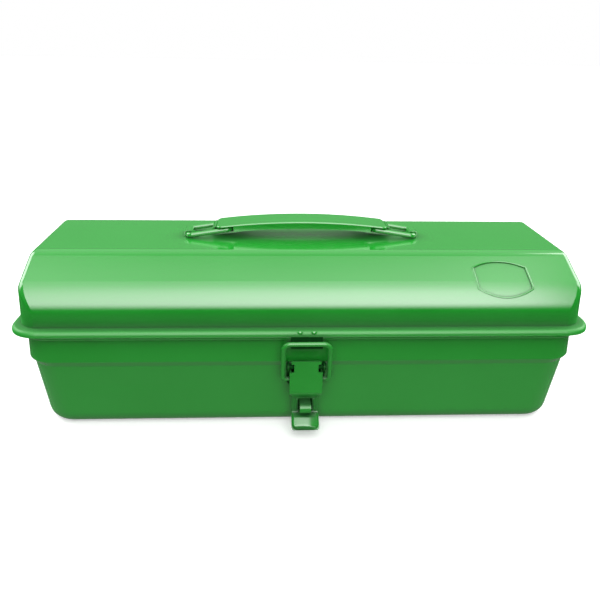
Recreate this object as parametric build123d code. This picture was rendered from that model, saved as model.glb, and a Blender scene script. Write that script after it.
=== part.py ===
"""Pressed steel tool box with a camber-top lid, a lift handle and a draw latch.

Millimetres, +Z up, +X along the length, the front at -Y. The origin is the centre
of the flat underside, where the box stands.
"""
import math
import os

from build123d import *

# Whole box
body_length = 359.0
body_depth = 150.0
parting_height = 70.3
lid_height = 42.1
sheet = 0.8
overrun = 2.0
level_tolerance = 0.1

# Lid shell
slope_run = 36.0
knee_rise = 24.9
lid_end_extra = 1.8
lid_corner_radius = 14.0
lid_corner_proud = 0.3
lid_edge_radius = 4.0
knee_radius = 20.0
crown_radius = 18.0
rim_corner_radius = 12.0
rim_reach = 7.0
rim_height = 3.6
rim_round = 2.4

# Plain pressed name panel on the front slope
panel_width = 36.0
panel_side = 18.4
panel_top_bulge = 5.8
panel_bottom_bulge = 5.3
panel_from_end = 50.5
panel_slope_drop = 24.05
panel_sink = 0.5

# Base pan
band_height = 20.3
step_drop = 3.8
step_inset = 2.2
foot_inset = 8.4
pan_corner_radius = 19.0
foot_edge_radius = 10.5
step_soft_radius = 1.2
bead_clearance = 0.7
bead_height = 3.1
rim_gap = 0.3

# Handle grip
grip_rise = 13.0
grip_half_length = 61.0
grip_fall = 4.0
grip_width = 24.0
grip_sheet = 1.2
grip_flange_depth = 5.0
grip_flange_set_back = 12.0
grip_edge_radius = 1.0
grip_corner_radius = 4.0
tongue_side_play = 0.9
tongue_wire_play = 0.6
tongue_stop_gap = 1.7

# Handle rings and the straps that hold them
ring_wire = 3.4
ring_width = 18.8
ring_reach = 30.0
ring_bar_set_back = 10.0
ring_bend = 3.2
ring_play = 0.3
strap_sheet = 0.9
strap_side_play = 2.0
strap_foot = 5.0
strap_bend = 1.5

# Draw latch: pin and lever
latch_pin_stand = 5.4
latch_pin_drop = 21.2
latch_pin_radius = 1.6
latch_pin_head_radius = 2.3
latch_pin_head = 0.6
running_clearance = 0.06
lever_width = 21.0
lever_sheet = 1.0
lever_brow_rise = 4.8
lever_notch_rise = 2.6
lever_body_drop = 3.1
lever_body_height = 15.4
lever_shoulder_height = 4.0
lever_neck_draw = 3.0
lever_neck_height = 12.0
lever_tip_lead = 6.6
lever_tip_height = 7.6
lever_bend = 2.4
lever_knuckle_step = 2.8
lever_brow_step = 1.1
lever_neck_step = 2.2
lever_tip_step = 1.4
lever_tip_spread = 2.6
lever_tip_corner = 3.2
lever_slot_width = 9.0
lever_slot_drop = 2.0
lever_slot_sill = 0.3
lever_flange_depth = 5.0

# Draw latch: bail, catch, bracket and padlock staple
bail_wire = 3.0
bail_side_gap = 1.2
bail_pivot_draw = 0.4
bail_pivot_drop = 8.9
bail_bar_drop = 3.3
bail_lip_gap = 0.5
bail_top_bend = 4.4
bail_foot_bend = 2.6
bail_hole_clearance = 0.1
bail_end_inset = 2.0
catch_sheet = 1.0
catch_width = 20.0
catch_drop = 3.7
catch_lip_reach = 2.8
catch_bend = 1.2
catch_rib_radius = 0.9
catch_rib_spacing = 8.8
bracket_sheet = 1.0
bracket_gap = 0.4
bracket_top_drop = 1.0
bracket_shoulder_drop = 11.2
bracket_foot_gap = 0.5
bracket_tongue_width = 14.0
ear_sheet = 1.2
ear_radius = 3.2
ear_height = 12.6
staple_sheet = 0.9
staple_side_play = 0.9
staple_stand = 6.8
staple_top_drop = 2.0
staple_inside = 4.4
staple_foot = 3.6

# Rear hinges
hinge_spacing = 220.0
hinge_width = 26.0
hinge_sheet = 1.2
hinge_bend = 1.6
hinge_pin_radius = 1.2
hinge_wrap = 1.34
hinge_pin_head_extra = 0.8
hinge_pin_head = 0.8
hinge_rim_gap = 0.3
hinge_middle_width = 11.0
hinge_knuckle_gap = 0.3
hinge_jog_gap = 0.9
hinge_leaf_height = 10.0

# Rivets
rivet_shank_radius = 1.5
rivet_head_extra = 1.1
rivet_head = 1.1
rivet_dome_share = 0.8
rivet_inset = 6.0
bracket_rivet_spacing = 12.0
bracket_rivet_drop = 5.2
bracket_rivet_pitch = 10.4

# Lid and base, from the sizes above
half_depth = body_depth / 2
lid_top = parting_height + lid_height
knee_height = parting_height + knee_rise
crown_half_depth = half_depth - slope_run
slope_angle = math.atan2(lid_height - knee_rise, slope_run)
panel_place_x = body_length / 2 - panel_from_end
band_bottom = parting_height - band_height
waist_height = band_bottom - step_drop
taper = math.atan2(foot_inset - step_inset, waist_height)
bead_reach = rim_reach - sheet - catch_sheet - bead_clearance
bead_top = parting_height - rim_gap
bead_bottom = bead_top - bead_height
rim_top = parting_height + rim_height
rim_spring = rim_top - rim_round

# Handle, from the sizes above
ring_radius = ring_wire / 2
ring_pivot_z = lid_top + ring_radius + ring_play
ring_bar_x = grip_half_length - ring_bar_set_back
ring_pivot_x = ring_bar_x + ring_reach
grip_top = lid_top + grip_rise
grip_radius = (grip_half_length ** 2 + grip_fall ** 2) / (2 * grip_fall)
grip_centre_z = grip_top - grip_radius
grip_flange_half_length = grip_half_length - grip_flange_set_back
tongue_pocket = ring_wire + 2 * tongue_wire_play
tongue_width = ring_width - ring_wire - 2 * tongue_side_play
tongue_stop = ring_bar_x - ring_radius - tongue_stop_gap - grip_sheet
pocket_radius = grip_radius - grip_sheet - tongue_pocket / 2
ring_bar_z = grip_centre_z + math.sqrt(pocket_radius ** 2 - ring_bar_x ** 2)
ring_length = math.hypot(ring_reach, ring_bar_z - ring_pivot_z)
ring_rest_angle = math.degrees(math.atan2(ring_bar_z - ring_pivot_z, ring_reach))
strap_width = ring_width - ring_wire - 2 * strap_side_play

# Latch, from the sizes above
latch_pin_y = -half_depth - latch_pin_stand
latch_pin_z = parting_height - latch_pin_drop
lever_hole_radius = latch_pin_radius + running_clearance
lever_body_y = latch_pin_y - lever_hole_radius - lever_sheet / 2
lever_brow_top = latch_pin_z + lever_brow_rise
lever_body_top = latch_pin_z - lever_body_drop
lever_body_bottom = lever_body_top - lever_body_height
lever_neck_y = latch_pin_y + lever_neck_draw
lever_neck_top = lever_body_bottom - lever_shoulder_height
lever_neck_bottom = lever_neck_top - lever_neck_height
lever_tip_y = latch_pin_y - lever_tip_lead
lever_tip_z = lever_neck_bottom - lever_tip_height
lever_slot_top = lever_neck_top - lever_slot_drop
lever_slot_bottom = lever_neck_bottom + lever_slot_sill
catch_plate_y = -half_depth - rim_reach + sheet + catch_sheet / 2
catch_lip_y = catch_plate_y - catch_lip_reach
catch_foot_z = bead_bottom - catch_drop
bail_radius = bail_wire / 2
bail_width = lever_width + 2 * (bail_side_gap + bail_wire)
bail_pivot_y = latch_pin_y + bail_pivot_draw
bail_pivot_z = latch_pin_z - bail_pivot_drop
bail_bar_y = catch_lip_y - bail_lip_gap - bail_radius
bail_bar_z = parting_height - bail_bar_drop
ear_inside = lever_width / 2 + bracket_gap
ear_outside = ear_inside + ear_sheet
ear_foot = latch_pin_z - ear_height
bracket_top = waist_height - bracket_top_drop
bracket_shoulder = bracket_top - bracket_shoulder_drop
bracket_foot = foot_edge_radius + bracket_foot_gap
bracket_rivet_top = bracket_top - bracket_rivet_drop
bracket_rivet_low = bracket_rivet_top - bracket_rivet_pitch
bracket_stack = bracket_sheet + sheet
staple_nose_y = lever_neck_y - staple_stand
staple_top = lever_slot_top - staple_top_drop
staple_width = lever_slot_width - 2 * staple_side_play

# Hinges, from the sizes above
hinge_knuckle_radius = hinge_pin_radius + running_clearance + hinge_wrap
hinge_axis_y = half_depth + rim_reach + hinge_rim_gap + hinge_knuckle_radius
hinge_axis_z = parting_height
hinge_stack = hinge_sheet + sheet
lid_leaf_bottom = rim_top + hinge_jog_gap
lid_rivet_height = lid_leaf_bottom + hinge_leaf_height / 2
base_leaf_top = bead_bottom - hinge_jog_gap
base_rivet_height = base_leaf_top - hinge_leaf_height / 2
inner_knuckle = hinge_middle_width / 2
outer_knuckle = hinge_width / 2
lid_segments = [(-inner_knuckle, inner_knuckle)]
base_segments = [(-outer_knuckle, -inner_knuckle - hinge_knuckle_gap),
                 (inner_knuckle + hinge_knuckle_gap, outer_knuckle)]


def bent_strip(points, bend, thickness):
    """Face of a bent sheet whose middle line runs through the points."""
    return trace(FilletPolyline(*points, radius=bend), line_width=thickness)


def across(face, width):
    """Solid of a side view, drawn in Y and Z, centred on the middle plane."""
    return extrude(Plane.YZ * face, amount=width / 2, both=True)


def frontal(face, width):
    """Solid of a front view, drawn in X and Z, centred on the middle plane."""
    return extrude(Plane.XZ * face, amount=width / 2, both=True)


def loop_path(length, depth, radius, height):
    """Closed rounded rectangle that starts in the middle of the front."""
    x = length / 2
    y = depth / 2
    corners = [(0, -y), (x, -y), (x, y), (-x, y), (-x, -y), (0, -y)]
    return Pos(0, 0, height) * FilletPolyline(*corners, radius=[0] + 4 * [radius])


def front_section(depth, height):
    """Plane across the middle of the front wall, x outward and y up."""
    return Plane(origin=(0, -depth / 2, height), x_dir=(0, -1, 0), z_dir=(-1, 0, 0))


def lid_block(inset):
    """Solid of the lid's outside, drawn in by a wall on every face but the mouth."""
    side = half_depth - inset
    top = lid_top - inset
    knee = knee_height + inset * (math.tan(slope_angle) - 1 / math.cos(slope_angle))
    crown = side - (top - knee) / math.tan(slope_angle)
    mouth = parting_height - (overrun if inset else 0)
    outline = [(-side, mouth), (-side, knee), (-crown, top), (crown, top), (side, knee), (side, mouth)]
    bends = [knee_radius - inset, crown_radius - inset, crown_radius - inset, knee_radius - inset]
    profile = make_face([*FilletPolyline(*outline, radius=bends).edges(), *Line(outline[-1], outline[0]).edges()])
    length = body_length + 2 * (lid_end_extra - inset)
    plan = RectangleRounded(length, 2 * (side + lid_corner_proud), lid_corner_radius - inset)
    block = across(profile, 2 * length) & extrude(Pos(0, 0, mouth) * plan, amount=2 * lid_height)
    return fillet(end_creases(block, length / 2, mouth), radius=lid_edge_radius - inset)


def end_creases(block, end, mouth):
    """Creases round both ends of the lid, without the mouth and the seams on the end faces."""
    creases = []
    for edge in block.edges():
        middle = edge.center()
        on_end = abs(abs(middle.X) - end) < level_tolerance
        seam = on_end and edge.bounding_box().size.Y < level_tolerance
        if abs(middle.X) > end - lid_corner_radius and middle.Z > mouth + level_tolerance and not seam:
            creases.append(edge)
    return creases


def panel_prism(grow):
    """Prism through the front slope with the outline of the name panel."""
    x = panel_width / 2 + grow
    y = panel_side / 2 + grow
    outline = [
        ThreePointArc((-x, y), (0, y + panel_top_bulge), (x, y)),
        Line((x, y), (x, -y)),
        ThreePointArc((x, -y), (0, -y - panel_bottom_bulge), (-x, -y)),
        Line((-x, -y), (-x, y)),
    ]
    out = Vector(0, -math.sin(slope_angle), math.cos(slope_angle))
    down = Vector(0, -math.cos(slope_angle), -math.sin(slope_angle))
    middle = Vector(panel_place_x, -crown_half_depth, lid_top) + down * panel_slope_drop
    slope = Plane(origin=middle, x_dir=(1, 0, 0), z_dir=out)
    return extrude(slope * make_face(outline), amount=panel_side / 2, both=True)


def lid_rim():
    """Rim turned out round the lid's mouth and bent down at its edge."""
    web = rim_reach - rim_round
    skirt = rim_height - rim_round
    turn = Circle(rim_round) - Circle(rim_round - sheet)
    section = Pos(web, skirt) * (turn & Pos(rim_round, rim_round) * Rectangle(2 * rim_round, 2 * rim_round))
    section += Pos(web / 2 - sheet / 4, rim_height - sheet / 2) * Rectangle(web + sheet / 2, sheet)
    section += Pos(rim_reach - sheet / 2, skirt / 2) * Rectangle(sheet, skirt)
    path = loop_path(body_length, body_depth, rim_corner_radius, parting_height)
    return sweep(front_section(body_depth, parting_height) * section, path=path)


def rivet(place, seats):
    """Rivet along +Z of its place, through a stack of sheets as thick as the seats."""
    shank = Cylinder(rivet_shank_radius, seats, align=(Align.CENTER, Align.CENTER, Align.MAX))
    dome = Cylinder(rivet_shank_radius + rivet_head_extra, rivet_head, align=(Align.CENTER, Align.CENTER, Align.MIN))
    dome = fillet(dome.edges().sort_by(Axis.Z)[-1], radius=rivet_head * rivet_dome_share)
    tail = Pos(0, 0, -seats) * mirror(dome, about=Plane.XY)
    return place * (dome + shank + tail)


def rivet_hole(place, seats):
    """Cutter for the shank of a rivet."""
    return place * Pos(0, 0, -seats / 2) * Cylinder(rivet_shank_radius, seats + 2 * overrun)


def hinge_rivets(height):
    """Places of the rivets of both hinges at one height, pointing out of the rear wall."""
    spots = []
    for side in (-1, 1):
        for end in (-1, 1):
            x = side * hinge_spacing / 2 + end * (hinge_width / 2 - rivet_inset)
            origin = (x, half_depth + hinge_sheet, height)
            spots.append(Location(Plane(origin=origin, x_dir=(1, 0, 0), z_dir=(0, 1, 0))))
    return spots


def wall_place(height, lift=0):
    """Plane on the tapered front wall, x to the right, y up the wall, z out of it."""
    y = -half_depth + foot_inset - math.tan(taper) * height
    place = Plane(origin=(0, y, height), x_dir=(1, 0, 0), z_dir=(0, -math.cos(taper), -math.sin(taper)))
    return place.offset(lift)


def bracket_rivets():
    """Places of the bracket's rivets, a pair between the ears and one below."""
    high = wall_place(bracket_rivet_top, bracket_sheet)
    low = wall_place(bracket_rivet_low, bracket_sheet)
    pair = [high * Pos(side * bracket_rivet_spacing / 2, 0, 0) for side in (-1, 1)]
    return [low.location, *pair]


def lid():
    """Drawn lid: shell, rolled rim, sunk name panel and rivet holes."""
    shell = lid_block(0) + lid_rim() - lid_block(sheet)
    sunk = (lid_block(0) - lid_block(panel_sink)) & panel_prism(0)
    raised = (lid_block(sheet) - lid_block(sheet + panel_sink)) & panel_prism(sheet)
    shell = shell - sunk + raised
    for place in hinge_rivets(lid_rivet_height):
        shell -= rivet_hole(place, hinge_stack)
    return shell


def pan_level(draw_in, inset, height):
    """Rounded outline of the base at a height, drawn in from the upper band and by a wall."""
    drop = 2 * (draw_in + inset)
    outline = RectangleRounded(body_length - drop, body_depth - drop, pan_corner_radius - inset)
    return Pos(0, 0, height) * outline


def pan_block(inset):
    """Solid of the base's outside, drawn in by a wall on every face but the mouth."""
    foot = pan_level(foot_inset - inset * math.tan(taper), inset, inset)
    waist = pan_level(step_inset, inset, waist_height)
    band = pan_level(0, inset, band_bottom)
    lower = loft([foot, waist], ruled=True)
    lower = fillet(lower.faces().sort_by(Axis.Z)[0].edges(), radius=foot_edge_radius - inset)
    mouth = bead_top - band_bottom + (overrun if inset else 0)
    block = lower + loft([waist, band], ruled=True) + extrude(band, amount=mouth)
    step = [edge for edge in block.edges() if on_level(edge, waist_height) or on_level(edge, band_bottom)]
    return fillet(step, radius=step_soft_radius)


def on_level(edge, height):
    """True for an edge that lies flat at a height."""
    box = edge.bounding_box()
    return abs(box.min.Z - height) + abs(box.max.Z - height) < level_tolerance


def base_pan():
    """Drawn base: tapered pan, upper band, rolled bead and rivet holes."""
    shell = pan_block(0) - pan_block(sheet)
    section = RectangleRounded(bead_reach + sheet / 2, bead_height, bead_height / 2 - sheet / 4)
    section = Pos(bead_reach / 2 - sheet / 4, bead_height / 2) * section
    path = loop_path(body_length, body_depth, pan_corner_radius, bead_bottom)
    shell += sweep(front_section(body_depth, bead_bottom) * section, path=path)
    for place in hinge_rivets(base_rivet_height):
        shell -= rivet_hole(place, hinge_stack)
    for place in bracket_rivets():
        shell -= rivet_hole(place, bracket_stack)
    return shell


def grip_angle(x):
    """Angle in degrees from the top of the grip's arc to a place along it."""
    return math.degrees(math.asin(x / grip_radius))


def arc_band(outer, inner, start, end):
    """Face between two arcs about the grip's centre, angles measured from the top."""
    first = 90 - end
    size = end - start
    upper = CenterArc((0, grip_centre_z), outer, first, size)
    lower = CenterArc((0, grip_centre_z), inner, first, size)
    return make_face([upper, Line(upper @ 1, lower @ 1), lower, Line(upper @ 0, lower @ 0)])


def grip_tongue(side):
    """End of the grip folded under to hold a ring's inner bar in a long pocket."""
    outer = grip_radius - grip_sheet
    inner = outer - tongue_pocket
    end = grip_angle(grip_half_length)
    stop = grip_angle(tongue_stop)
    fold_at = CenterArc((0, grip_centre_z), (outer + inner) / 2, 90 - end, end) @ 0
    fold_radius = tongue_pocket / 2 + grip_sheet
    ring = Pos(fold_at.X, fold_at.Y) * (Circle(fold_radius) - Circle(tongue_pocket / 2))
    beyond = Pos(fold_at.X, fold_at.Y) * Rot(0, 0, -end) * Pos(fold_radius, 0) * Rectangle(
        2 * fold_radius, 4 * fold_radius)
    back = arc_band(inner, inner - grip_sheet, stop, end)
    tip = arc_band(outer, inner, stop, stop + grip_angle(grip_sheet))
    tongue = frontal((ring & beyond) + back + tip, tongue_width)
    return tongue if side > 0 else mirror(tongue, about=Plane.YZ)


def handle_grip():
    """Arched grip with turned-down flanges and a folded tongue at each end."""
    end = grip_angle(grip_half_length)
    flange_end = grip_angle(grip_flange_half_length)
    plate = frontal(arc_band(grip_radius, grip_radius - grip_sheet, -end, end), grip_width)
    corners = plate.edges().filter_by(lambda edge: abs(edge.center().X) > grip_flange_half_length
                                      and edge.length < 2 * grip_sheet)
    plate = fillet(corners, radius=grip_corner_radius)
    skirt = frontal(arc_band(grip_radius, grip_radius - grip_flange_depth, -flange_end, flange_end), grip_width)
    hollow = frontal(arc_band(grip_radius - grip_sheet, grip_radius - 2 * grip_flange_depth,
                              -2 * flange_end, 2 * flange_end), grip_width - 2 * grip_sheet)
    grip = plate + (skirt - hollow)
    crest = [edge for edge in grip.edges().filter_by(GeomType.CIRCLE)
             if abs(edge.radius - grip_radius) < grip_sheet / 2 and edge.length > grip_flange_depth]
    grip = fillet(crest, radius=grip_edge_radius)
    for side in (-1, 1):
        grip += grip_tongue(side)
    return grip


def handle_ring(side):
    """Closed wire ring from a strap on the lid to a pocket in the grip."""
    path = loop_path(ring_width, ring_length, ring_bend, 0)
    section = front_section(ring_length, 0) * Circle(ring_radius)
    ring = Pos(0, ring_length / 2, 0) * sweep(section, path=path)
    ring = Rot(ring_rest_angle, 0, 0) * ring
    turn = 90 if side > 0 else -90
    return Pos(side * ring_pivot_x, 0, ring_pivot_z) * Rot(0, 0, turn) * ring


def handle_strap(side):
    """Strap welded on the lid by a foot under the ring and bent over the ring's outer bar."""
    reach = ring_radius + ring_play + strap_sheet / 2
    foot_z = lid_top + strap_sheet / 2
    roof_z = ring_pivot_z + ring_radius + ring_play + strap_sheet / 2
    edge = reach + strap_foot
    points = [(-edge, foot_z), (-reach, foot_z), (-reach, roof_z), (reach, roof_z), (reach, lid_top)]
    strap = Pos(ring_pivot_x, 0, 0) * frontal(bent_strip(points, strap_bend, strap_sheet), strap_width)
    return strap if side > 0 else mirror(strap, about=Plane.YZ)


def latch_pin():
    """Pivot pin of the lever with a head outside each ear."""
    reach = ear_outside
    pin = Cylinder(latch_pin_radius, 2 * (reach + latch_pin_head))
    head = Cylinder(latch_pin_head_radius, latch_pin_head, align=(Align.CENTER, Align.CENTER, Align.MIN))
    pin += Pos(0, 0, reach) * head
    pin += Pos(0, 0, -reach - latch_pin_head) * head
    return Pos(0, latch_pin_y, latch_pin_z) * Rot(0, 90, 0) * pin


def latch_bracket():
    """Plate on the tapered front wall with two ears for the lever's pin."""
    middle = (bracket_top + bracket_foot) / 2
    rise = 1 / math.cos(taper)
    top = (bracket_top - middle) * rise
    shoulder = (bracket_shoulder - middle) * rise
    foot = (bracket_foot - middle) * rise
    half_tongue = bracket_tongue_width / 2
    right = [(ear_outside, top), (ear_outside, shoulder), (half_tongue, shoulder - half_tongue), (half_tongue, foot)]
    outline = right + [(-x, y) for x, y in reversed(right)]
    plate = extrude(wall_place(middle) * make_face(Polyline(*outline, close=True)), amount=bracket_sheet)
    ear_top = wall_place(bracket_top).origin
    ear_base = wall_place(ear_foot).origin
    eye = Pos(latch_pin_y, latch_pin_z) * Circle(ear_radius)
    root = Line((ear_top.Y, ear_top.Z), (ear_base.Y, ear_base.Z))
    ear = make_hull([*eye.edges(), *root.edges()])
    ears = across(ear, 2 * ear_outside) - across(ear, 2 * ear_inside)
    pin_hole = Pos(0, latch_pin_y, latch_pin_z) * Rot(0, 90, 0) * Cylinder(latch_pin_radius, 3 * ear_outside)
    bracket = plate + ears - pin_hole
    for place in bracket_rivets():
        bracket -= rivet_hole(place, bracket_stack)
    return bracket


def padlock_staple():
    """Strap bent into a loop that stands out through the lever's slot."""
    lower = staple_top - staple_inside - 2 * staple_sheet
    upper_mid = staple_top - staple_sheet / 2
    lower_mid = lower + staple_sheet / 2
    seat = bracket_sheet + staple_sheet / 2
    upper_root = wall_place(upper_mid, seat).origin
    lower_root = wall_place(lower_mid, seat).origin
    upper_foot = wall_place(upper_mid + staple_foot, seat).origin
    nose = staple_nose_y + staple_sheet / 2
    loop = [(upper_root.Y, upper_mid), (nose, upper_mid), (nose, lower_mid), (lower_root.Y, lower_mid)]
    band = bent_strip(loop, staple_inside / 2, staple_sheet)
    foot = trace(Line((upper_foot.Y, upper_foot.Z), (upper_root.Y, upper_root.Z)), line_width=staple_sheet)
    return across(band + foot, staple_width)


def lever_side_view():
    """Side view of the lever: brow, knuckle round the pin, body, neck and tip."""
    eye = Pos(latch_pin_y, latch_pin_z)
    points = [
        (lever_body_y, lever_brow_top),
        (lever_body_y, lever_body_bottom),
        (lever_neck_y, lever_neck_top),
        (lever_neck_y, lever_neck_bottom),
        (lever_tip_y, lever_tip_z),
    ]
    knuckle = eye * Circle(lever_hole_radius + lever_sheet)
    return knuckle + bent_strip(points, lever_bend, lever_sheet) - eye * Circle(lever_hole_radius)


def lever_front_view():
    """Front outline of the lever: brow, knuckle, body, neck and tip."""
    body = lever_width / 2
    brow = body - lever_brow_step
    knuckle = body - lever_knuckle_step
    neck = body - lever_neck_step
    tip = body - lever_tip_step
    knuckle_top = latch_pin_z + lever_notch_rise
    over = lever_brow_top + overrun
    under = lever_tip_z - lever_sheet
    right = [
        (brow, over),
        (brow, knuckle_top),
        (knuckle, knuckle_top),
        (knuckle, lever_body_top),
        (body, lever_body_top),
        (body, lever_body_bottom),
        (neck, lever_neck_top),
        (neck, lever_neck_bottom),
        (tip, lever_neck_bottom - lever_tip_spread),
        (tip, under),
    ]
    outline = make_face(Polyline(*right, *[(-x, z) for x, z in reversed(right)], close=True))
    tip_corners = outline.vertices().sort_by(Axis.Y)[:2]
    return fillet(tip_corners, radius=lever_tip_corner)


def latch_lever():
    """Pressed lever with side flanges for the bail and a slot for the staple."""
    strip = across(lever_side_view(), lever_width)
    lever = strip & frontal(lever_front_view(), 4 * half_depth)
    slot_height = lever_slot_top - lever_slot_bottom
    slot = Pos(0, (lever_slot_top + lever_slot_bottom) / 2) * Rectangle(lever_slot_width, slot_height)
    lever -= frontal(slot, 4 * half_depth)
    back = lever_body_y + lever_flange_depth
    flange = make_face(Polyline((lever_body_y, lever_body_top), (back, lever_body_top),
                                (back, lever_body_bottom + lever_bend), (lever_body_y, lever_body_bottom),
                                close=True))
    lever += across(flange, lever_width) - across(flange, lever_width - 2 * lever_sheet)
    hole = Cylinder(bail_radius + bail_hole_clearance, 2 * lever_width)
    return lever - Pos(0, bail_pivot_y, bail_pivot_z) * Rot(0, 90, 0) * hole


def latch_bail():
    """Wire bail with its two ends turned in through the lever's flanges."""
    half = bail_width / 2
    end = lever_width / 2 - bail_end_inset
    rise = math.hypot(bail_bar_y - bail_pivot_y, bail_bar_z - bail_pivot_z)
    lean = math.degrees(math.atan2(bail_pivot_y - bail_bar_y, bail_bar_z - bail_pivot_z))
    points = [(-end, 0), (-half, 0), (-half, rise), (half, rise), (half, 0), (end, 0)]
    path = FilletPolyline(*points, radius=[bail_foot_bend, bail_top_bend, bail_top_bend, bail_foot_bend])
    wire = sweep(Plane(origin=(-end, 0, 0), z_dir=(-1, 0, 0)) * Circle(bail_radius), path=path)
    return Pos(0, bail_pivot_y, bail_pivot_z) * Rot(90 + lean, 0, 0) * wire


def latch_catch():
    """Strap inside the lid's rim with a lip for the bail and two stiffening ribs."""
    points = [(catch_plate_y, rim_spring), (catch_plate_y, catch_foot_z), (catch_lip_y, catch_foot_z)]
    catch = across(bent_strip(points, catch_bend, catch_sheet), catch_width)
    rib_height = bead_bottom - catch_foot_z
    for side in (-1, 1):
        rib = Cylinder(catch_rib_radius, rib_height, align=(Align.CENTER, Align.CENTER, Align.MIN))
        catch += Pos(side * catch_rib_spacing / 2, catch_plate_y - catch_sheet / 2, catch_foot_z) * rib
    return catch


def hinge_knuckle(segments):
    """Rolled knuckle about the hinge axis, one piece for each pair of ends."""
    hole = hinge_pin_radius + running_clearance
    tube = Circle(hinge_knuckle_radius) - Circle(hole)
    parts = [extrude(Plane.YZ * tube, amount=end - start).translate((start, 0, 0)) for start, end in segments]
    return [Pos(0, hinge_axis_y, hinge_axis_z) * part for part in parts]


def hinge_leaf(points, segments):
    """Hinge leaf bent from its wall out to the knuckles that it carries."""
    strip = bent_strip(points, hinge_bend, hinge_sheet)
    leaf = across(strip, hinge_width)
    for start, end in gaps_between(segments):
        room = Pos((start + end) / 2, hinge_axis_y, hinge_axis_z) * Box(
            end - start, 4 * hinge_knuckle_radius, 4 * lid_rivet_height)
        leaf -= room
    bore = Pos(0, hinge_axis_y, hinge_axis_z) * Rot(0, 90, 0) * Cylinder(hinge_knuckle_radius, 2 * hinge_width)
    leaf -= bore
    for part in hinge_knuckle(segments):
        leaf += part
    return leaf


def gaps_between(segments):
    """Stretches of a hinge's width that the segments leave free."""
    edge = outer_knuckle + overrun
    ends = [-edge] + [value for pair in segments for value in pair] + [edge]
    return [(a, b) for a, b in zip(ends[0::2], ends[1::2]) if b - a > overrun + hinge_knuckle_gap]


def hinge_lid_leaf(side):
    """Leaf on the lid's rear wall that reaches over the rolled rim."""
    y = half_depth + hinge_sheet / 2
    jog = lid_leaf_bottom + hinge_sheet / 2
    points = [(y, lid_leaf_bottom + hinge_leaf_height), (y, jog), (hinge_axis_y, jog), (hinge_axis_y, hinge_axis_z)]
    leaf = hinge_leaf(points, lid_segments)
    for place in hinge_rivets(lid_rivet_height):
        leaf -= Pos(-side * hinge_spacing / 2, 0, 0) * rivet_hole(place, hinge_stack)
    return Pos(side * hinge_spacing / 2, 0, 0) * leaf


def hinge_base_leaf(side):
    """Leaf on the base's rear wall that reaches out under the rolled bead."""
    y = half_depth + hinge_sheet / 2
    jog = base_leaf_top - hinge_sheet / 2
    points = [(y, base_leaf_top - hinge_leaf_height), (y, jog), (hinge_axis_y, jog), (hinge_axis_y, hinge_axis_z)]
    leaf = hinge_leaf(points, base_segments)
    for place in hinge_rivets(base_rivet_height):
        leaf -= Pos(-side * hinge_spacing / 2, 0, 0) * rivet_hole(place, hinge_stack)
    return Pos(side * hinge_spacing / 2, 0, 0) * leaf


def hinge_pin(side):
    """Hinge pin with a head at each end of the knuckles."""
    reach = outer_knuckle + hinge_knuckle_gap
    pin = Cylinder(hinge_pin_radius, 2 * (reach + hinge_pin_head))
    head = Cylinder(hinge_pin_radius + hinge_pin_head_extra, hinge_pin_head, align=(Align.CENTER, Align.CENTER, Align.MIN))
    pin += Pos(0, 0, reach) * head
    pin += Pos(0, 0, -reach - hinge_pin_head) * head
    return Pos(side * hinge_spacing / 2, hinge_axis_y, hinge_axis_z) * Rot(0, 90, 0) * pin


def rivet_group(places, seats):
    """Separate rivets kept together in one node."""
    return Compound([rivet(place, seats) for place in places])


def all_pieces():
    """Every piece of the box by its node name."""
    pieces = {
        "base_pan": base_pan(),
        "lid": lid(),
        "handle_grip": handle_grip(),
        "latch_bracket": latch_bracket(),
        "padlock_staple": padlock_staple(),
        "latch_pin": latch_pin(),
        "latch_lever": latch_lever(),
        "latch_bail": latch_bail(),
        "latch_catch": latch_catch(),
        "hinge_rivets_lid": rivet_group(hinge_rivets(lid_rivet_height), hinge_stack),
        "hinge_rivets_base": rivet_group(hinge_rivets(base_rivet_height), hinge_stack),
        "latch_rivets": rivet_group(bracket_rivets(), bracket_stack),
    }
    for name, side in (("left", -1), ("right", 1)):
        pieces["handle_ring_" + name] = handle_ring(side)
        pieces["handle_strap_" + name] = handle_strap(side)
        pieces["hinge_lid_leaf_" + name] = hinge_lid_leaf(side)
        pieces["hinge_base_leaf_" + name] = hinge_base_leaf(side)
        pieces["hinge_pin_" + name] = hinge_pin(side)
    return pieces


os.makedirs("parts", exist_ok=True)
for node, piece in all_pieces().items():
    export_step(piece, "parts/" + node + ".step")
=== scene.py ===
"""Looks of a green pressed steel tool box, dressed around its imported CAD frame."""

import logging
import math
from dataclasses import dataclass, replace
from enum import Enum
from functools import partial, reduce
from typing import Sequence

import bmesh
import bpy
from mathutils import Matrix, Vector


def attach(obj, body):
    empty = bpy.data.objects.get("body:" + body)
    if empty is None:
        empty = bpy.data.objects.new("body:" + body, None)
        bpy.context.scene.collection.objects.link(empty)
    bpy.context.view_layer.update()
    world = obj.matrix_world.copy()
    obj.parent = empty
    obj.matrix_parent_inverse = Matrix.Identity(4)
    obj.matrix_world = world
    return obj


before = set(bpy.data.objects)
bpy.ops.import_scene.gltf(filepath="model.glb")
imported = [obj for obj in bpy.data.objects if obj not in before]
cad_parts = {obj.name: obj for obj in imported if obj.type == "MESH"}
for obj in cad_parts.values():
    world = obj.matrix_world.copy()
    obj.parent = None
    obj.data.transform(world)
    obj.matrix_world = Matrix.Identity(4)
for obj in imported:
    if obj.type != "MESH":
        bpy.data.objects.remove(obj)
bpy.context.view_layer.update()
LOG = logging.getLogger("tool_box")

Point = tuple[float, float, float]
Colour = tuple[float, float, float]
Span = tuple[float, float]
Socket = bpy.types.NodeSocket

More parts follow.
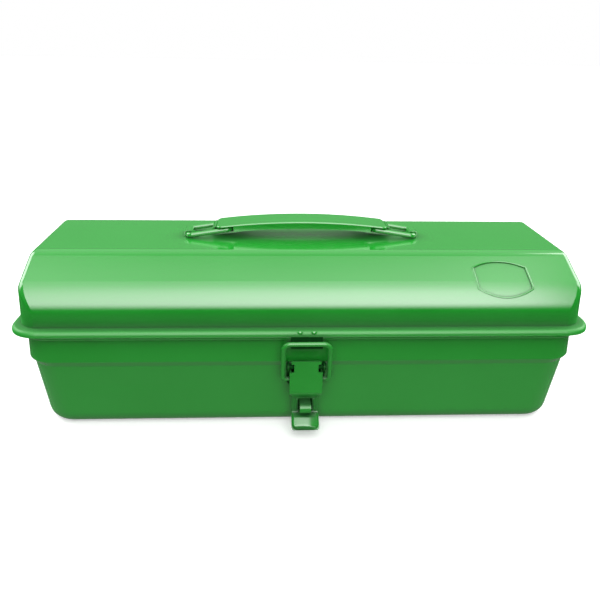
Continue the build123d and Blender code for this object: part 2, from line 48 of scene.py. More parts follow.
MM = 0.001
IMAGE_SIDE = 600.0
SIDES = ("left", "right")
SIGNS = (-1.0, 1.0)
FRONT: Point = (0.0, -1.0, 0.0)
WHITE: Colour = (1.0, 1.0, 1.0)

# Octaves of each noise, and the span of its value that counts
CLOUD_DETAIL = 4.0
PEEL_DETAIL = 1.5
STREAK_DETAIL = 6.0
WHOLE_SPAN: Span = (0.0, 1.0)
NOISE_SPAN: Span = (0.3, 0.7)
STREAK_SPAN: Span = (0.62, 0.78)

# Lie of the scuff streaks, and how the folds of the sheet are found by ambient occlusion and dulled; the same
# folds get painted shade in the enamel's colour
STREAK_TURN: Point = (0.3, 0.5, 0.4)
STREAK_STRETCH: Point = (0.06, 1.0, 1.0)
CREVICE_RAYS = 8
CREVICE_ROUGHNESS = 0.6

# Sockets of a colour mix, which share their names with those for numbers
MIX_SHARE = 0
MIX_FIRST = 6
MIX_SECOND = 7
MIX_RESULT = 2

# Share of its full size that an open bead starts with, and gains at each point
BEAD_END = 0.25
BEAD_GROWTH = 0.3


class Slot(Enum):
    """Material slots of the record, which this script does not use."""

    BOX = "box_enamel"
    HANDLE = "handle_enamel"
    LATCH = "latch_enamel"
    PIN = "pin_steel"


class Body(Enum):
    """Rigid bodies that the added pieces ride on."""

    LID = "lid"
    LEVER = "lever"


class SocketKind(Enum):
    """Kinds of result that a node group takes in or puts out."""

    COLOUR = "NodeSocketColor"
    VALUE = "NodeSocketFloat"


def rgba(colour: Colour) -> tuple[float, float, float, float]:
    """Colour with full alpha, as Blender's sockets want it."""
    return (*colour, 1.0)


def both(stem: str) -> list[str]:
    """Names of the left and the right node of a pair."""
    return [stem + side for side in SIDES]


def set_inputs(node: bpy.types.Node, values: dict[str, float | Colour]) -> None:
    """Sets input sockets of a node.

    Args:
        node: the node.
        values: number or colour by socket name.
    """
    for name, value in values.items():
        node.inputs[name].default_value = rgba(value) if isinstance(value, tuple) else value


def combine(tree: bpy.types.NodeTree, operation: str, first: Socket, second: Socket) -> Socket:
    """Adds a node for the sum, product, comparison or other result of two values.

    Args:
        tree: node tree that gets the node.
        operation: Blender's name of the operation.
        first: socket with the first value.
        second: socket with the second value.

    Returns:
        Socket with the result.
    """
    made = tree.nodes.new("ShaderNodeMath")
    made.operation = operation
    tree.links.new(first, made.inputs[0])
    tree.links.new(second, made.inputs[1])
    return made.outputs[0]


class GroupTree:
    """A shader node group under construction, with named sockets."""

    def __init__(self, name: str, defaults: dict[str, float | Colour]) -> None:
        """Makes a group that has its inputs and nothing else.

        Args:
            name: name of the group.
            defaults: default number or colour of each input by name.
        """
        self.tree = bpy.data.node_groups.new(name, "ShaderNodeTree")
        self.entry = self.tree.nodes.new("NodeGroupInput")
        self.exit = self.tree.nodes.new("NodeGroupOutput")
        for title, default in defaults.items():
            is_colour = isinstance(default, tuple)
            kind = SocketKind.COLOUR if is_colour else SocketKind.VALUE
            socket = self.tree.interface.new_socket(title, in_out="INPUT", socket_type=kind.value)
            socket.default_value = rgba(default) if is_colour else default

    def put_out(self, source: Socket, name: str, kind: SocketKind = SocketKind.VALUE) -> None:
        """Adds an output to the group and links a result to it."""
        self.tree.interface.new_socket(name, in_out="OUTPUT", socket_type=kind.value)
        self.link(source, self.exit.inputs[name])

    def given(self, name: str) -> Socket:
        """Socket that carries one of the group's inputs."""
        return self.entry.outputs[name]

    def link(self, source: Socket, target: Socket) -> None:
        """Links two sockets."""
        self.tree.links.new(source, target)

    def node(self, kind: str, **settings: object) -> bpy.types.Node:
        """Adds a node.

        Args:
            kind: Blender's name of the node type.
            settings: properties of the node.

        Returns:
            The new node.
        """
        made = self.tree.nodes.new(kind)
        for key, value in settings.items():
            setattr(made, key, value)
        return made

    def math(self, operation: str, first: Socket, second: Socket) -> Socket:
        """Adds the sum, product, comparison or other result of two values."""
        return combine(self.tree, operation, first, second)

    def noise(self, scale_from: Socket, detail: float, where: Socket) -> Socket:
        """Adds a noise texture.

        Args:
            scale_from: socket with the noise's scale.
            detail: octaves of the noise.
            where: socket with the coordinates.

        Returns:
            Socket with the noise's value from 0 to 1.
        """
        made = self.node("ShaderNodeTexNoise")
        set_inputs(made, {"Detail": detail})
        self.link(where, made.inputs["Vector"])
        self.link(scale_from, made.inputs["Scale"])
        return made.outputs["Fac"]

    def remap(self, source: Socket, low: Socket | float, high: Socket | float,
              span: Span = NOISE_SPAN) -> Socket:
        """Maps a value from one span to another.

        Args:
            source: socket with the value.
            low: result at the start of the span, as a number or a socket.
            high: result at the end of the span, as a number or a socket.
            span: the values that give the low and the high result.

        Returns:
            Socket with the mapped value.
        """
        made = self.node("ShaderNodeMapRange")
        self.link(source, made.inputs["Value"])
        set_inputs(made, {"From Min": span[0], "From Max": span[1]})
        for name, wanted in (("To Min", low), ("To Max", high)):
            if isinstance(wanted, float):
                set_inputs(made, {name: wanted})
            else:
                self.link(wanted, made.inputs[name])
        return made.outputs["Result"]

    def blend(self, share: Socket, first: Socket, second: Socket) -> Socket:
        """Mixes two colours.

        Args:
            share: socket with the second colour's share.
            first: socket with the first colour.
            second: socket with the second colour.

        Returns:
            Socket with the mixed colour.
        """
        made = self.node("ShaderNodeMix", data_type="RGBA")
        for source, place in ((share, MIX_SHARE), (first, MIX_FIRST), (second, MIX_SECOND)):
            self.link(source, made.inputs[place])
        return made.outputs[MIX_RESULT]


def enamel_skin_group() -> bpy.types.NodeTree:
    """Group for baked enamel: cloudy tone, wandering roughness, fine orange peel, and duller folds that
    ambient occlusion darkens with painted shade.

    Returns:
        The node group. Its outputs are Colour, which holds the painted shade of the folds, Roughness, Height
        and Open, a mask of what no fold shades.
    """
    group = GroupTree("enamel_skin", {
        "Full Coat": (0.0, 0.3, 0.05), "Thin Coat": (0.02, 0.35, 0.08), "Cloud Scale": 18.0,
        "Peel Scale": 900.0, "Peel Depth": 0.4, "Smooth": 0.16, "Dull": 0.24,
        "Painted Shade Reach": 0.012, "Painted Shade Depth": 0.5, "Painted Shade": (0.0, 0.03, 0.004)})
    where = group.node("ShaderNodeTexCoord").outputs["Object"]
    cloud = group.noise(group.given("Cloud Scale"), CLOUD_DETAIL, where)
    tone = group.remap(cloud, 0.0, 1.0)
    # Ambient occlusion finds folds and crevices, where the colour is darkened with painted shade
    shade_occlusion = group.node("ShaderNodeAmbientOcclusion", samples=CREVICE_RAYS)
    group.link(group.given("Painted Shade Reach"), shade_occlusion.inputs["Distance"])
    share = group.math("POWER", shade_occlusion.outputs["AO"], group.given("Painted Shade Depth"))
    coat = group.blend(tone, group.given("Full Coat"), group.given("Thin Coat"))
    rough = group.remap(cloud, group.given("Smooth"), group.given("Dull"))
    peel = group.noise(group.given("Peel Scale"), PEEL_DETAIL, where)
    # Painted shade: the colour goes towards a near-black green where the folds close in
    group.put_out(group.blend(share, group.given("Painted Shade"), coat), "Colour", SocketKind.COLOUR)
    group.put_out(group.remap(share, CREVICE_ROUGHNESS, rough, WHOLE_SPAN), "Roughness")
    group.put_out(group.remap(peel, 0.0, group.given("Peel Depth")), "Height")
    group.put_out(share, "Open")
    return group.tree


def fine_scuff_group() -> bpy.types.NodeTree:
    """Group for handling marks: thin stretched streaks, and an even rub in a band of height.

    Returns:
        The node group, with the marks as its Mask output.
    """
    group = GroupTree("fine_scuff", {
        "Scale": 60.0, "Strength": 0.3, "Band Low": 0.0, "Band High": 0.0, "Band Strength": 0.0})
    where = group.node("ShaderNodeTexCoord").outputs["Object"]
    stretch = group.node("ShaderNodeMapping")
    stretch.inputs["Rotation"].default_value = STREAK_TURN
    stretch.inputs["Scale"].default_value = STREAK_STRETCH
    group.link(where, stretch.inputs["Vector"])
    streak = group.noise(group.given("Scale"), STREAK_DETAIL, stretch.outputs["Vector"])
    marks = group.remap(streak, 0.0, group.given("Strength"), STREAK_SPAN)
    place = group.node("ShaderNodeSeparateXYZ")
    group.link(where, place.inputs["Vector"])
    over = group.math("GREATER_THAN", place.outputs["Z"], group.given("Band Low"))
    under = group.math("LESS_THAN", place.outputs["Z"], group.given("Band High"))
    band = group.math("MULTIPLY", group.math("MULTIPLY", over, under), group.given("Band Strength"))
    group.put_out(group.math("ADD", marks, band), "Mask")
    return group.tree


class Groups:
    """The node groups that more than one finish places in its material."""

    def __init__(self) -> None:
        """Builds each group once."""
        self.skin = enamel_skin_group()
        self.scuff = fine_scuff_group()


def place_group(tree: bpy.types.NodeTree, group: bpy.types.NodeTree,
                values: dict[str, float | Colour]) -> bpy.types.Node:
    """Places a node group in a material.

    Args:
        tree: the material's node tree.
        group: the group to place.
        values: input values by socket name.

    Returns:
        The placed group node.
    """
    made = tree.nodes.new("ShaderNodeGroup")
    made.node_tree = group
    set_inputs(made, values)
    return made


def blank_material(name: str) -> tuple[bpy.types.Material, bpy.types.Node]:
    """New material with only its shader.

    Args:
        name: name of the material.

    Returns:
        The material and its shader node.
    """
    made = bpy.data.materials.new(name)
    made.use_nodes = True
    tree = made.node_tree
    tree.nodes.clear()
    shader = tree.nodes.new("ShaderNodeBsdfPrincipled")
    final = tree.nodes.new("ShaderNodeOutputMaterial")
    tree.links.new(shader.outputs["BSDF"], final.inputs["Surface"])
    return made, shader


def feed_shader(tree: bpy.types.NodeTree, skin: bpy.types.Node, scuff: bpy.types.Node,
                shader: bpy.types.Node) -> None:
    """Links the colour and the scuffed roughness of a finish to its shader.

    Args:
        tree: the material's node tree.
        skin: the placed skin group.
        scuff: the placed scuff group.
        shader: the material's shader.
    """
    rough = combine(tree, "ADD", skin.outputs["Roughness"], scuff.outputs["Mask"])
    tree.links.new(skin.outputs["Colour"], shader.inputs["Base Color"])
    tree.links.new(rough, shader.inputs["Roughness"])


@dataclass(frozen=True)
class Rub:
    """A band of height that handling has rubbed dull, which takes in the whole piece unless it is set."""

    low: float = -1.0
    high: float = 1.0
    strength: float = 0.0


@dataclass(frozen=True)
class Enamel:
    """Glossy baked enamel on pressed steel."""

    name: str
    full_coat: Colour = (0.013, 0.315, 0.023)
    thin_coat: Colour = (0.017, 0.34, 0.029)
    smooth: float = 0.14
    dull: float = 0.2
    cloud_scale: float = 14.0
    peel_scale: float = 420.0
    peel_depth: float = 0.5
    peel_distance: float = 0.02 * MM
    scuff_scale: float = 70.0
    scuff_strength: float = 0.12
    rub: Rub = Rub()
    rub_loss: float = 3.0
    bending: float = 1.8
    coat_bending: float = 1.68
    coat_roughness: float = 0.1
    # Reach and strength of the painted shade that darkens folds and crevices
    painted_shade_reach: float = 12.0 * MM
    painted_shade_depth: float = 0.3
    bloom: float = 0.48
    bloom_tint: Colour = (0.04, 0.7, 0.07)
    bloom_roughness: float = 0.6

    def make(self, groups: Groups) -> bpy.types.Material:
        """Builds the material, with painted shade in its folds and a clear coat that folds and rubbed places
        lose.

        Args:
            groups: the shared node groups.

        Returns:
            The finished material.
        """
        material, shader = blank_material(self.name)
        tree = material.node_tree
        skin = place_group(tree, groups.skin, {
            "Full Coat": self.full_coat, "Thin Coat": self.thin_coat, "Cloud Scale": self.cloud_scale,
            "Peel Scale": self.peel_scale, "Peel Depth": self.peel_depth,
            "Smooth": self.smooth, "Dull": self.dull,
            "Painted Shade Reach": self.painted_shade_reach, "Painted Shade Depth": self.painted_shade_depth})
        scuff = place_group(tree, groups.scuff, {
            "Scale": self.scuff_scale, "Strength": self.scuff_strength,
            "Band Low": self.rub.low, "Band High": self.rub.high, "Band Strength": self.rub.strength})
        feed_shader(tree, skin, scuff, shader)
        bump = tree.nodes.new("ShaderNodeBump")
        set_inputs(bump, {"Distance": self.peel_distance})
        tree.links.new(skin.outputs["Height"], bump.inputs["Height"])
        tree.links.new(bump.outputs["Normal"], shader.inputs["Normal"])
        gloss = tree.nodes.new("ShaderNodeMath")
        gloss.operation = "MULTIPLY_ADD"
        gloss.use_clamp = True
        tree.links.new(scuff.outputs["Mask"], gloss.inputs[0])
        gloss.inputs[1].default_value = -self.rub_loss
        tree.links.new(skin.outputs["Open"], gloss.inputs[2])
        tree.links.new(gloss.outputs[0], shader.inputs["Coat Weight"])
        set_inputs(shader, {
            "IOR": self.bending, "Coat IOR": self.coat_bending, "Coat Roughness": self.coat_roughness,
            "Sheen Weight": self.bloom, "Sheen Tint": self.bloom_tint,
            "Sheen Roughness": self.bloom_roughness})
        return material


@dataclass(frozen=True)
class BrightZinc:
    """Bright plated steel of the hinge pins."""

    name: str
    light: Colour = (0.62, 0.63, 0.65)
    dark: Colour = (0.45, 0.46, 0.48)
    smooth: float = 0.24
    dull: float = 0.38
    grain_scale: float = 260.0
    scuff_scale: float = 300.0
    scuff_strength: float = 0.2

    def make(self, groups: Groups) -> bpy.types.Material:
        """Builds the material.

        Args:
            groups: the shared node groups.

        Returns:
            The finished material.
        """
        material, shader = blank_material(self.name)
        tree = material.node_tree
        # The pins' crevices darken towards the dark tone, which is painted shade
        skin = place_group(tree, groups.skin, {
            "Full Coat": self.light, "Thin Coat": self.dark, "Cloud Scale": self.grain_scale,
            "Painted Shade": self.dark, "Smooth": self.smooth, "Dull": self.dull})
        scuff = place_group(tree, groups.scuff, {"Scale": self.scuff_scale, "Strength": self.scuff_strength})
        feed_shader(tree, skin, scuff, shader)
        set_inputs(shader, {"Metallic": 1.0})
        return material


@dataclass(frozen=True)
class Finishes:
    """Every material of the box."""

    box: bpy.types.Material
    lid: bpy.types.Material
    handle: bpy.types.Material
    latch: bpy.types.Material
    wire: bpy.types.Material
    recess: bpy.types.Material
    pin: bpy.types.Material

    @classmethod
    def make(cls) -> "Finishes":
        """Builds the finishes, with a duller rim, bail and staple, and painted shade behind the lever: a
        darker, duller copy of the latch's enamel.

        Returns:
            The finished materials.
        """
        groups = Groups()
        # The latch's enamel takes strong, far-reaching painted shade in its folds
        latch = Enamel("green_enamel_latch", cloud_scale=60.0, peel_scale=900.0,
                       painted_shade_reach=22.0 * MM, painted_shade_depth=3.0)
        wire = replace(latch, name="green_enamel_wire", rub=Rub(strength=0.2))
        # Painted shade behind the lever: a darker, duller copy of the latch's enamel
        recess = replace(latch, name="green_enamel_recess", full_coat=(0.003, 0.085, 0.006),
                         thin_coat=(0.005, 0.11, 0.009), smooth=0.3, dull=0.4, bending=1.2,
                         coat_roughness=0.3, bloom=0.1, rub=Rub(strength=0.25))
        rim_rub = Rub(low=69.8 * MM, high=74.2 * MM, strength=0.3)
        return cls(
            box=Enamel("green_enamel_box").make(groups),
            # The lid's painted shade is deeper, which darkens folds such as the web inside its rim
            lid=Enamel("green_enamel_lid", painted_shade_depth=2.5, rub=rim_rub).make(groups),
            handle=Enamel("green_enamel_handle", cloud_scale=30.0, peel_scale=700.0).make(groups),
            latch=latch.make(groups),
            wire=wire.make(groups),
            recess=recess.make(groups),
            pin=BrightZinc("bright_zinc_pin").make(groups),
        )


def dress_node(node: str, material: bpy.types.Material) -> None:
    """Gives a CAD node its material.

    Args:
        node: name of the CAD node.
        material: the finish it gets.
    """
    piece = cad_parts[node]
    piece.data.materials.clear()
    piece.data.materials.append(material)
    LOG.info("dressed %s", node)


def add_mesh(name: str, shape: bmesh.types.BMesh, material: bpy.types.Material) -> bpy.types.Object:
    """Turns a bmesh into a smooth-shaded object of the scene.

    Args:
        name: name of the new piece.
        shape: the mesh, which is freed.
        material: its finish.

    Returns:
        The new object.
    """
    bmesh.ops.recalc_face_normals(shape, faces=shape.faces[:])
    mesh = bpy.data.meshes.new(name)
    shape.to_mesh(mesh)
    shape.free()
    for face in mesh.polygons:
        face.use_smooth = True
    mesh.materials.append(material)
    piece = bpy.data.objects.new(name, mesh)
    bpy.context.scene.collection.objects.link(piece)
    LOG.info("built %s", name)
    return piece


def bead_along(points: Sequence[Vector], normals: Sequence[Vector], half_width: float, height: float,
               closed: bool, sides: int = 7) -> bmesh.types.BMesh:
    """Low rounded bead that runs along a path on a surface.

    Args:
        points: the path on the surface.
        normals: surface normal at each point.
        half_width: half the bead's width.
        height: the bead's height over the surface.
        closed: True for a path that joins its own start.
        sides: points across the bead's top.

    Returns:
        The bead as a closed bmesh.
    """
    shape = bmesh.new()
    count = len(points)
    rings: list[list[bmesh.types.BMVert]] = []
    for index, point in enumerate(points):
        before = points[index - 1] if closed or index else point
        after = points[(index + 1) % count] if closed or index + 1 < count else point
        along = (after - before).normalized()
        out = normals[index].normalized()
        side = along.cross(out).normalized()
        from_end = min(index, count - 1 - index)
        shrink = 1.0 if closed else min(1.0, BEAD_END + from_end * BEAD_GROWTH)
        half = half_width * shrink
        ring = []
        for step in range(sides):
            turn = math.pi * step / (sides - 1)
            lift = height * shrink * math.sin(turn)
            ring.append(shape.verts.new(point + side * (half * math.cos(turn)) + out * lift))
        for sign in SIGNS:
            ring.append(shape.verts.new(point + side * (sign * half) - out * height))
        rings.append(ring)
    spans = count if closed else count - 1
    across = len(rings[0])
    for index in range(spans):
        first, second = rings[index], rings[(index + 1) % count]
        for step in range(across):
            follow = (step + 1) % across
            shape.faces.new((first[step], first[follow], second[follow], second[step]))
    if not closed:
        shape.faces.new(rings[0])
        shape.faces.new(list(reversed(rings[-1])))
    return shape


@dataclass
class LidShell:
    """The lid with its rear leaves, and the beads pressed into its sheet."""

    finishes: Finishes
    panel_centre: Point = (129.0 * MM, -60.7 * MM, 102.03 * MM)
    panel_half_width: float = 18.0 * MM
    panel_half_side: float = 9.2 * MM
    panel_top_bulge: float = 5.8 * MM
    panel_bottom_bulge: float = 5.3 * MM
    panel_bead: float = 0.55 * MM
    panel_bead_height: float = 0.28 * MM
    arc_steps: int = 20
    side_steps: int = 8
    slope_rise: float = 17.2 * MM
    slope_run: float = 36.0 * MM
    knee_radius: float = 20.0 * MM
    knee_below: float = 3.24 * MM
    pip_places: tuple[float, float] = (-4.4 * MM, 4.4 * MM)
    pip_height: float = 72.9 * MM
    pip_depth: float = -81.2 * MM
    pip_size: Point = (1.8 * MM, 1.2 * MM, 1.3 * MM)
    pip_segments: int = 20
    pip_rings: int = 12

    def outline(self) -> list[tuple[float, float]]:
        """Path round the name panel in its own plane: an arc and a straight side, twice.

        Returns:
            The points as distances across and up from the panel's middle.
        """
        x, y = self.panel_half_width, self.panel_half_side
        points: list[tuple[float, float]] = []
        for sign, bulge in ((1.0, self.panel_top_bulge), (-1.0, self.panel_bottom_bulge)):
            radius = (x * x + bulge * bulge) / (2.0 * bulge)
            reach = math.asin(x / radius)
            for step in range(self.arc_steps + 1):
                turn = sign * reach * (1.0 - 2.0 * step / self.arc_steps)
                rise = y + bulge - radius + radius * math.cos(turn)
                points.append((-radius * math.sin(turn), sign * rise))
            corner_x, corner_y = points[-1]
            for step in range(1, self.side_steps):
                points.append((corner_x, corner_y * (1.0 - 2.0 * step / self.side_steps)))
        return points

    def on_slope(self, x: float, y: float) -> tuple[Vector, Vector]:
        """Place and normal on the front slope, which bends over the knee below the panel's middle.

        Args:
            x: distance to the right of the panel's middle.
            y: distance up the slope from the panel's middle.

        Returns:
            The point on the sheet and the sheet's normal there.
        """
        slope = math.atan2(self.slope_rise, self.slope_run)
        out = Vector((0.0, -math.sin(slope), math.cos(slope)))
        up = Vector((0.0, math.cos(slope), math.sin(slope)))
        turn = math.asin(max(0.0, -y - self.knee_below) / self.knee_radius)
        drop = self.knee_radius * (1.0 - math.cos(turn))
        place = Vector(self.panel_centre) + Vector((x, 0.0, 0.0)) + up * y - out * drop
        return place, out * math.cos(turn) - up * math.sin(turn)

    def panel_border(self) -> bpy.types.Object:
        """Fine raised bead round the plain name panel.

        Returns:
            The bead.
        """
        path, normals = zip(*(self.on_slope(x, y) for x, y in self.outline()))
        shape = bead_along(path, normals, self.panel_bead, self.panel_bead_height, closed=True)
        return add_mesh("lid_panel_border", shape, self.finishes.box)

    def rim_pips(self) -> bpy.types.Object:
        """Two small bumps that the catch's ribs press up in the rim.

        Returns:
            The bumps as one piece.
        """
        shape = bmesh.new()
        size = Matrix.Diagonal((*self.pip_size, 1.0))
        for x in self.pip_places:
            placed = Matrix.Translation((x, self.pip_depth, self.pip_height)) @ size
            bmesh.ops.create_uvsphere(shape, u_segments=self.pip_segments, v_segments=self.pip_rings,
                                      radius=1.0, matrix=placed)
        return add_mesh("lid_rim_pips", shape, self.finishes.box)

    def dress(self) -> None:
        """Finishes the lid's nodes and adds its beads."""
        for node in ("lid", "hinge_rivets_lid", *both("hinge_lid_leaf_")):
            dress_node(node, self.finishes.lid)
        for piece in (self.panel_border(), self.rim_pips()):
            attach(piece, Body.LID.value)


@dataclass
class BasePan:
    """The base with its rear leaves, its rivets and the hinge pins."""

    finishes: Finishes

    def dress(self) -> None:
        """Finishes the base's nodes."""
        for node in ("base_pan", "hinge_rivets_base", *both("hinge_base_leaf_"), "latch_rivets"):
            dress_node(node, self.finishes.box)
        for node in both("hinge_pin_"):
            dress_node(node, self.finishes.pin)


@dataclass
class LiftHandle:
    """The grip, its rings and the straps that hold them."""

    finishes: Finishes

    def dress(self) -> None:
        """Finishes the handle's nodes."""
        for node in ("handle_grip", *both("handle_ring_"), *both("handle_strap_")):
            dress_node(node, self.finishes.handle)


@dataclass
class DrawLatch:
    """The lever, bail, catch, bracket, pin and staple of the latch."""

    finishes: Finishes
    neck_face: float = -77.9 * MM
    rib_places: tuple[float, float] = (-5.6 * MM, 5.6 * MM)
    rib_top: float = 24.8 * MM
    rib_bottom: float = 15.9 * MM
    rib_half_width: float = 0.7 * MM
    rib_height: float = 0.45 * MM
    rib_steps: int = 16
    tip_top: float = 15.2 * MM
    tip_out: float = 9.6 * MM
    tip_down: float = 7.6 * MM
    tip_length: float = 12.24 * MM
    pad_start: float = 0.5 * MM
    pad_end: float = 12.3 * MM
    pad_half_width: float = 8.7 * MM
    pad_corner: float = 3.4 * MM
    pad_base: float = 0.85 * MM
    pad_crown: float = 1.5 * MM
    pad_lean: float = 0.7 * MM
    pad_tuck: float = 0.3 * MM
    pad_rows: int = 18
    pad_columns: int = 25
    pad_rise_rows: int = 6
    pad_fall_rows: int = 4
    pad_fall_end: float = 0.25

    def neck_rib(self, side: str, x: float) -> bpy.types.Object:
        """Stiffening rib pressed in the lever's neck beside its slot.

        Args:
            side: left or right, for the name.
            x: place of the rib.

        Returns:
            The rib.
        """
        span = self.rib_top - self.rib_bottom
        heights = [self.rib_top - span * step / self.rib_steps for step in range(self.rib_steps + 1)]
        path = [Vector((x, self.neck_face, height)) for height in heights]
        normals = [Vector(FRONT)] * len(path)
        shape = bead_along(path, normals, self.rib_half_width, self.rib_height, closed=False)
        return add_mesh("lever_neck_rib_" + side, shape, self.finishes.latch)

    def pad_half(self, reach: float) -> float:
        """Half the thumb pad's width, which its lower corners round off.

        Args:
            reach: distance down the lever's tip.

        Returns:
            The half width there.
        """
        past = max(0.0, reach - self.pad_end + self.pad_corner)
        bow = math.sqrt(max(0.0, self.pad_corner ** 2 - past ** 2))
        return self.pad_half_width - self.pad_corner + bow

    def pad_lift(self, row: int, share: float) -> float:
        """Height of the thumb pad over the lever's tip, with its border tucked into the sheet.

        Args:
            row: row of the pad's grid, counted from the neck.
            share: place across the pad, from -1 at its left edge to 1 at its right edge.

        Returns:
            The height there.
        """
        rows_left = self.pad_rows - 1 - row
        if abs(share) == 1.0 or row == 0 or rows_left == 0:
            return -self.pad_tuck
        rise = min(1.0, row / self.pad_rise_rows)
        fall = min(1.0, self.pad_fall_end + rows_left / self.pad_fall_rows)
        crown = self.pad_base + self.pad_crown * (1.0 - share * share) - self.pad_lean * share
        return crown * rise * fall

    def thumb_pad(self) -> bpy.types.Object:
        """Crowned thumb pad pressed in the lever's tip, a little higher on its left side.

        Returns:
            The pad.
        """
        along = Vector((0.0, -self.tip_out / self.tip_length, -self.tip_down / self.tip_length))
        out = Vector((0.0, along.z, -along.y))
        start = Vector((0.0, self.neck_face, self.tip_top))
        shape = bmesh.new()
        grid: list[list[bmesh.types.BMVert]] = []
        for row in range(self.pad_rows):
            reach = self.pad_start + (self.pad_end - self.pad_start) * row / (self.pad_rows - 1)
            line = []
            for column in range(self.pad_columns):
                share = 2.0 * column / (self.pad_columns - 1) - 1.0
                sideways = Vector((share * self.pad_half(reach), 0.0, 0.0))
                place = start + along * reach + out * self.pad_lift(row, share) + sideways
                line.append(shape.verts.new(place))
            grid.append(line)
        for upper, lower in zip(grid, grid[1:]):
            for column in range(self.pad_columns - 1):
                shape.faces.new((upper[column], upper[column + 1], lower[column + 1], lower[column]))
        return add_mesh("lever_tip_pad", shape, self.finishes.latch)

    def dress(self) -> None:
        """Finishes the latch's nodes and adds the lever's ribs and thumb pad."""
        dress_node("latch_lever", self.finishes.latch)
        for node in ("latch_bail", "padlock_staple"):
            dress_node(node, self.finishes.wire)
        # The catch, bracket and pin take the darker copy of the enamel, which is painted shade behind the
        # lever
        for node in ("latch_catch", "latch_bracket", "latch_pin"):
            dress_node(node, self.finishes.recess)
        ribs = [self.neck_rib(side, x) for side, x in zip(SIDES, self.rib_places)]
        for piece in (*ribs, self.thumb_pad()):
            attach(piece, Body.LEVER.value)


@dataclass(frozen=True)
class SoftBox:
    """A soft rectangular studio light."""

    name: str
    place: Point
    aim: Point
    width: float
    height: float
    power: float

    def build(self) -> None:
        """Adds the light to the scene."""
        lamp = bpy.data.lights.new(self.name, "AREA")
        lamp.shape = "RECTANGLE"
        lamp.size, lamp.size_y = self.width, self.height
        lamp.energy = self.power
        holder = bpy.data.objects.new(self.name, lamp)
        holder.location = self.place
        look = Vector(self.aim) - Vector(self.place)
        holder.rotation_euler = look.to_track_quat("-Z", "Y").to_euler()
        bpy.context.scene.collection.objects.link(holder)


@dataclass(frozen=True)
class Ramp:
    """An eased step of a value from one level to another."""

    start: float
    end: float
    low: float = 0.0
    high: float = 1.0

    def place(self, tree: bpy.types.NodeTree, source: Socket) -> Socket:
        """Adds the step to a node tree.

        Args:
            tree: node tree that gets the step.
            source: socket with the value.

        Returns:
            Socket with the level.
        """
        step = tree.nodes.new("ShaderNodeMapRange")
        step.interpolation_type = "SMOOTHSTEP"
        tree.links.new(source, step.inputs["Value"])
        set_inputs(step, {
            "From Min": self.start, "From Max": self.end, "To Min": self.low, "To Max": self.high})
        return step.outputs["Result"]


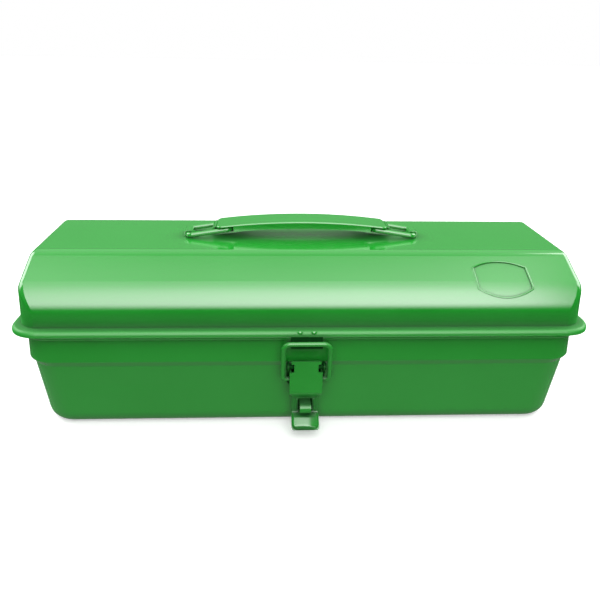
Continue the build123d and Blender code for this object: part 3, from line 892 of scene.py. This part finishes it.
@dataclass
class Studio:
    """Pale floor, soft light and the camera. The room's light steps over the direction that it comes from."""

    floor_half: float = 6.0
    floor_colour: Colour = (0.92, 0.92, 0.92)
    floor_roughness: float = 0.9
    floor_shine: float = 0.1
    floor_glow: float = 0.35
    screen_sides: Ramp = Ramp(0.12, 0.24, 1.0, 0.0)
    screen_back: Ramp = Ramp(0.26, 0.4, 1.0, 0.0)
    screen_light: Ramp = Ramp(-0.9, 0.4, 3.3, 0.99)
    screen_foot: Ramp = Ramp(-0.08, 0.34)
    screen_tilt: Ramp = Ramp(-0.4, 0.4, 0.92, 1.2)
    room_light: Ramp = Ramp(-0.3, 0.3, 0.05, 0.22)
    room_foot: Ramp = Ramp(-0.1, 0.1)
    table_light: Ramp = Ramp(-0.7, -0.2, 0.17, 0.0)
    back_light: Ramp = Ramp(0.3, 0.5, 0.0, 0.3)
    back_top: Ramp = Ramp(0.78, 0.93, 1.0, 0.0)
    back_turn: Ramp = Ramp(0.2, 0.4)
    softbox_place: Point = (1.25, 0.5, 0.9)
    softbox_aim: Point = (0.0, 0.0, 0.1)
    softbox_width: float = 1.2
    softbox_height: float = 1.0
    softbox_power: float = 11.0
    lens_pixels: float = 657.5
    axis_row: float = 225.3
    sensor: float = 36.0
    near_clip: float = 0.01
    pitch: float = 0.28206
    yaw: float = 0.05799
    roll: float = 0.02038
    eye: Point = (-0.0277, -0.45734, 0.25223)

    def floor(self) -> None:
        """Adds the pale floor as stage, kept out of the enamel's reflections."""
        shape = bmesh.new()
        bmesh.ops.create_grid(shape, x_segments=1, y_segments=1, size=self.floor_half)
        material, shader = blank_material("pale_floor")
        set_inputs(shader, {
            "Base Color": self.floor_colour, "Roughness": self.floor_roughness,
            "Specular IOR Level": self.floor_shine,
            "Emission Color": WHITE, "Emission Strength": self.floor_glow})
        plane = add_mesh("studio_floor", shape, material)
        plane.visible_diffuse = False
        plane.visible_glossy = False

    def air_light(self) -> None:
        """Lights the room: a pale back, a dim table and a white screen that leans over the front."""
        world = bpy.data.worlds.new("white_room")
        world.use_nodes = True
        bpy.context.scene.world = world
        tree = world.node_tree
        ray = tree.nodes.new("ShaderNodeSeparateXYZ")
        tree.links.new(tree.nodes.new("ShaderNodeTexCoord").outputs["Generated"], ray.inputs["Vector"])
        across, ahead, up = ray.outputs
        sideways = combine(tree, "MULTIPLY", across, across)
        screen_steps = ((self.screen_sides, sideways), (self.screen_back, ahead), (self.screen_light, ahead),
                        (self.screen_foot, up), (self.screen_tilt, across))
        room_steps = ((self.room_light, ahead), (self.room_foot, up))
        table_steps = ((self.table_light, up),)
        back_steps = ((self.back_light, up), (self.back_top, up), (self.back_turn, ahead))
        parts = []
        for steps in (room_steps, table_steps, back_steps, screen_steps):
            levels = [ramp.place(tree, source) for ramp, source in steps]
            parts.append(reduce(partial(combine, tree, "MULTIPLY"), levels))
        air = reduce(partial(combine, tree, "ADD"), parts)
        seen = tree.nodes.new("ShaderNodeLightPath").outputs["Is Camera Ray"]
        even = tree.nodes["Background"]
        set_inputs(even, {"Color": WHITE})
        tree.links.new(combine(tree, "MAXIMUM", air, seen), even.inputs["Strength"])

    def softboxes(self) -> None:
        """Adds a softbox on either side, a little behind the box."""
        x, y, z = self.softbox_place
        for side, sign in zip(SIDES, SIGNS):
            SoftBox(side + "_softbox", (sign * x, y, z), self.softbox_aim, self.softbox_width,
                    self.softbox_height, self.softbox_power).build()

    def camera(self) -> None:
        """Adds the camera at the photograph's viewing angle."""
        level = Vector((math.cos(self.yaw), -math.sin(self.yaw), 0.0))
        forward = Vector((math.sin(self.yaw), math.cos(self.yaw), 0.0))
        ahead = forward * math.cos(self.pitch) - Vector((0.0, 0.0, math.sin(self.pitch)))
        upright = level.cross(ahead)
        right = level * math.cos(self.roll) + upright * math.sin(self.roll)
        up = upright * math.cos(self.roll) - level * math.sin(self.roll)
        lens = bpy.data.cameras.new("front_camera")
        lens.sensor_width = self.sensor
        lens.lens = self.lens_pixels / IMAGE_SIDE * self.sensor
        lens.shift_y = (self.axis_row - IMAGE_SIDE / 2.0) / IMAGE_SIDE
        lens.clip_start = self.near_clip
        holder = bpy.data.objects.new("front_camera", lens)
        turn = Matrix((right, up, -ahead)).transposed().to_4x4()
        holder.matrix_world = Matrix.Translation(self.eye) @ turn
        bpy.context.scene.collection.objects.link(holder)
        bpy.context.scene.camera = holder

    def build(self) -> None:
        """Builds the whole studio."""
        bpy.context.scene.view_settings.view_transform = "Standard"
        self.floor()
        self.air_light()
        self.softboxes()
        self.camera()


def main() -> None:
    """Builds every sub-assembly in order, then the studio."""
    logging.basicConfig(level=logging.INFO, format="%(name)s: %(message)s")
    finishes = Finishes.make()
    for assembly in (BasePan(finishes), LidShell(finishes), LiftHandle(finishes), DrawLatch(finishes)):
        assembly.dress()
    Studio().build()


if __name__ == "__main__":
    main()
